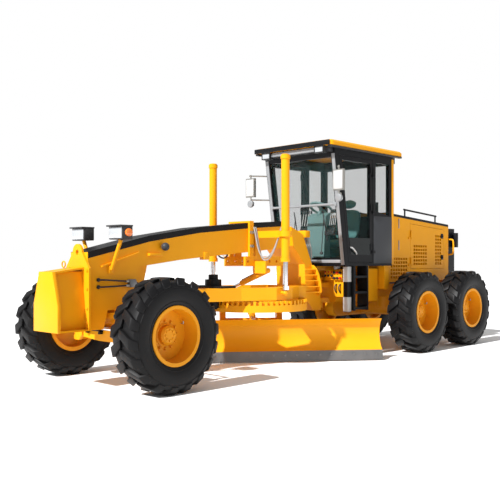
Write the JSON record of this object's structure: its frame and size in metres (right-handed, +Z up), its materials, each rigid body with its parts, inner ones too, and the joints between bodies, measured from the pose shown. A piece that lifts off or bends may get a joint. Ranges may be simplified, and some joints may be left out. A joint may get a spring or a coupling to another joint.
{
  "type": "motor grader",
  "caption": "Articulated road grader with a long gooseneck, angled blade under a turning circle, glazed cab, rear engine hood and leaning front wheels.",
  "frame": {"origin": "on the ground, under the middle of the bounding box", "axes": "+X ahead along the machine, +Y to the driver's left, +Z up"},
  "size_m": [8.609, 2.6135, 3.392],
  "materials": {
    "yellow": "gloss paint",
    "dark": "satin black paint",
    "engine_grey": "matt",
    "edge_steel": "worn",
    "rod_chrome": "polished",
    "glass": "tinted",
    "seat_cloth": "woven",
    "tyre": "dusty rubber",
    "rim_orange": "gloss paint"
  },
  "bodies": {
    "rear": {"rear_frame": "yellow", "rear_axle": "yellow", "engine": "engine_grey", "hood_shell": "yellow", "rear_grille": "dark", "hood_rails": "dark", "cab_frame": "dark", "cab_roof": "yellow", "cab_glass": "glass", "seat": "seat_cloth", "console": "dark", "ladders": "yellow", "side_boxes": "yellow", "mirrors": "dark", "work_lamps": "dark"},
    "door_left_body": {"door_left": "dark", "door_left_glass": "glass"},
    "door_right_body": {"door_right": "dark", "door_right_glass": "glass"},
    "hood_left_body": {"hood_door_left": "yellow"},
    "hood_right_body": {"hood_door_right": "yellow"},
    "front": {"front_frame": "yellow", "push_block": "dark", "headlamps": "dark", "lift_saddle": "yellow", "lift_barrels": "dark", "front_axle": "yellow", "axle_barrels": "dark"},
    "lean_left_body": {"lean_bracket_left": "yellow"},
    "lean_right_body": {"lean_bracket_right": "yellow"},
    "lean_bar_body": {"lean_bar": "yellow"},
    "lean_rod_body": {"lean_rod": "rod_chrome"},
    "steer_rod_body": {"steer_rod": "rod_chrome"},
    "knuckle_left_body": {"knuckle_left": "yellow"},
    "knuckle_right_body": {"knuckle_right": "yellow"},
    "tie_rod_body": {"tie_rod": "yellow"},
    "wheel_front_left": {"tyre_front_left": "tyre", "rim_front_left": "rim_orange"},
    "wheel_front_right": {"tyre_front_right": "tyre", "rim_front_right": "rim_orange"},
    "wheel_middle_left": {"tyre_middle_left": "tyre", "rim_middle_left": "rim_orange"},
    "wheel_middle_right": {"tyre_middle_right": "tyre", "rim_middle_right": "rim_orange"},
    "wheel_rear_left": {"tyre_rear_left": "tyre", "rim_rear_left": "rim_orange"},
    "wheel_rear_right": {"tyre_rear_right": "tyre", "rim_rear_right": "rim_orange"},
    "lift_rods_body": {"lift_rods": "rod_chrome"},
    "drawbar_body": {"drawbar": "yellow", "circle_drive": "dark"},
    "shift_barrel_body": {"shift_barrel": "dark"},
    "shift_rod_body": {"shift_rod": "rod_chrome"},
    "circle_body": {"circle": "yellow", "tip_barrel": "dark"},
    "tip_rod_body": {"tip_rod": "rod_chrome"},
    "tilt_body": {"tilt_bracket": "yellow"},
    "blade_body": {"moldboard": "yellow", "cutting_edge": "edge_steel"}
  },
  "joints": [
    {"name": "articulation", "type": "hinge", "parent": "rear", "child": "front", "pos_m": [-0.66, 0, 1.01], "axis": [0, 0, -1], "range_deg": [-25, 25]},
    {"name": "cab_door_left", "type": "hinge", "parent": "rear", "child": "door_left_body", "pos_m": [-1.234, 0.754, 2.3], "axis": [0, 0, 1], "range_deg": [0, 90]},
    {"name": "cab_door_right", "type": "hinge", "parent": "rear", "child": "door_right_body", "pos_m": [-1.234, -0.754, 2.3], "axis": [0, 0, -1], "range_deg": [0, 90]},
    {"name": "hood_side_left", "type": "hinge", "parent": "rear", "child": "hood_left_body", "pos_m": [-2.606, 0.614, 1.7], "axis": [0, 0, -1], "range_deg": [0, 90]},
    {"name": "hood_side_right", "type": "hinge", "parent": "rear", "child": "hood_right_body", "pos_m": [-2.606, -0.614, 1.7], "axis": [0, 0, 1], "range_deg": [0, 90]},
    {"name": "wheel_lean", "type": "hinge", "parent": "front", "child": "lean_left_body", "pos_m": [3.36, 0.6, 0.6], "axis": [1, 0, 0], "range_deg": [-18, 18]},
    {"name": "wheel_lean_right", "type": "hinge", "parent": "front", "child": "lean_right_body", "pos_m": [3.36, -0.6, 0.6], "axis": [1, 0, 0], "range_deg": [-18, 18]},
    {"name": "lean_bar_level", "type": "hinge", "parent": "lean_left_body", "child": "lean_bar_body", "pos_m": [3.36, 0.6, 0.86], "axis": [1, 0, 0], "range_deg": [-18, 18]},
    {"name": "lean_cylinder", "type": "slide", "parent": "front", "child": "lean_rod_body", "axis": [0, 1, 0], "range_m": [-0.09, 0.09]},
    {"name": "steering", "type": "hinge", "parent": "lean_left_body", "child": "knuckle_left_body", "pos_m": [3.36, 0.76, 0.675], "axis": [0, 0, 1], "range_deg": [-45, 45]},
    {"name": "steering_right", "type": "hinge", "parent": "lean_right_body", "child": "knuckle_right_body", "pos_m": [3.36, -0.76, 0.675], "axis": [0, 0, 1], "range_deg": [-45, 45]},
    {"name": "tie_rod_shift", "type": "slide", "parent": "lean_bar_body", "child": "tie_rod_body", "axis": [0, 1, 0], "range_m": [-0.2, 0.2]},
    {"name": "steering_cylinder", "type": "slide", "parent": "front", "child": "steer_rod_body", "axis": [0, 1, 0], "range_m": [-0.2, 0.2]},
    {"name": "spin_front_left", "type": "hinge", "parent": "knuckle_left_body", "child": "wheel_front_left", "pos_m": [3.36, 1.078, 0.675], "axis": [0, 1, 0], "continuous": true},
    {"name": "spin_front_right", "type": "hinge", "parent": "knuckle_right_body", "child": "wheel_front_right", "pos_m": [3.36, -1.078, 0.675], "axis": [0, 1, 0], "continuous": true},
    {"name": "spin_middle_left", "type": "hinge", "parent": "rear", "child": "wheel_middle_left", "pos_m": [-2.091, 1.078, 0.675], "axis": [0, 1, 0], "continuous": true},
    {"name": "spin_middle_right", "type": "hinge", "parent": "rear", "child": "wheel_middle_right", "pos_m": [-2.091, -1.078, 0.675], "axis": [0, 1, 0], "continuous": true},
    {"name": "spin_rear_left", "type": "hinge", "parent": "rear", "child": "wheel_rear_left", "pos_m": [-3.629, 1.078, 0.675], "axis": [0, 1, 0], "continuous": true},
    {"name": "spin_rear_right", "type": "hinge", "parent": "rear", "child": "wheel_rear_right", "pos_m": [-3.629, -1.078, 0.675], "axis": [0, 1, 0], "continuous": true},
    {"name": "blade_lift", "type": "hinge", "parent": "front", "child": "drawbar_body", "pos_m": [2.9, 0, 0.96], "axis": [0, 1, 0], "range_deg": [-9, 9.5]},
    {"name": "lift_cylinders", "type": "slide", "parent": "front", "child": "lift_rods_body", "axis": [0, 0, 1], "range_m": [-0.33, 0.34]},
    {"name": "centre_shift_swing", "type": "hinge", "parent": "front", "child": "shift_barrel_body", "pos_m": [0.93, 0.4, 1.39], "axis": [1, 0, 0], "range_deg": [-20, 20]},
    {"name": "centre_shift_rod", "type": "slide", "parent": "shift_barrel_body", "child": "shift_rod_body", "axis": [0, -0.9386, -0.3449], "range_m": [-0.13, 0.13]},
    {"name": "circle_turn", "type": "hinge", "parent": "drawbar_body", "child": "circle_body", "pos_m": [0.76, 0, 0.88], "axis": [0, 0, 1], "continuous": true},
    {"name": "blade_pitch", "type": "hinge", "parent": "circle_body", "child": "tilt_body", "pos_m": [0.5582, -0.2611, 0.33], "axis": [-0.7912, 0.6115, 0], "range_deg": [-5, 40]},
    {"name": "blade_shift", "type": "slide", "parent": "tilt_body", "child": "blade_body", "axis": [0.7912, -0.6115, 0], "range_m": [-0.6, 0.6]},
    {"name": "tip_cylinder", "type": "slide", "parent": "circle_body", "child": "tip_rod_body", "axis": [0.5937, 0.7682, -0.2396], "range_m": [-0.03, 0.2]}
  ],
  "couplings": [
    {"joint": "wheel_lean_right", "follows": "wheel_lean", "ratio": 1},
    {"joint": "lean_bar_level", "follows": "wheel_lean", "ratio": -1},
    {"joint": "lean_cylinder", "follows": "wheel_lean", "m_per_rad": -0.26},
    {"joint": "steering_right", "follows": "steering", "ratio": 1},
    {"joint": "tie_rod_shift", "follows": "steering", "m_per_rad": -0.225},
    {"joint": "steering_cylinder", "follows": "steering", "m_per_rad": -0.225},
    {"joint": "lift_cylinders", "follows": "blade_lift", "m_per_rad": 1.97},
    {"joint": "centre_shift_swing", "follows": "blade_lift", "ratio": -1.9},
    {"joint": "centre_shift_rod", "follows": "blade_lift", "m_per_rad": -0.75},
    {"joint": "tip_cylinder", "follows": "blade_pitch", "m_per_rad": 0.27}
  ]
}
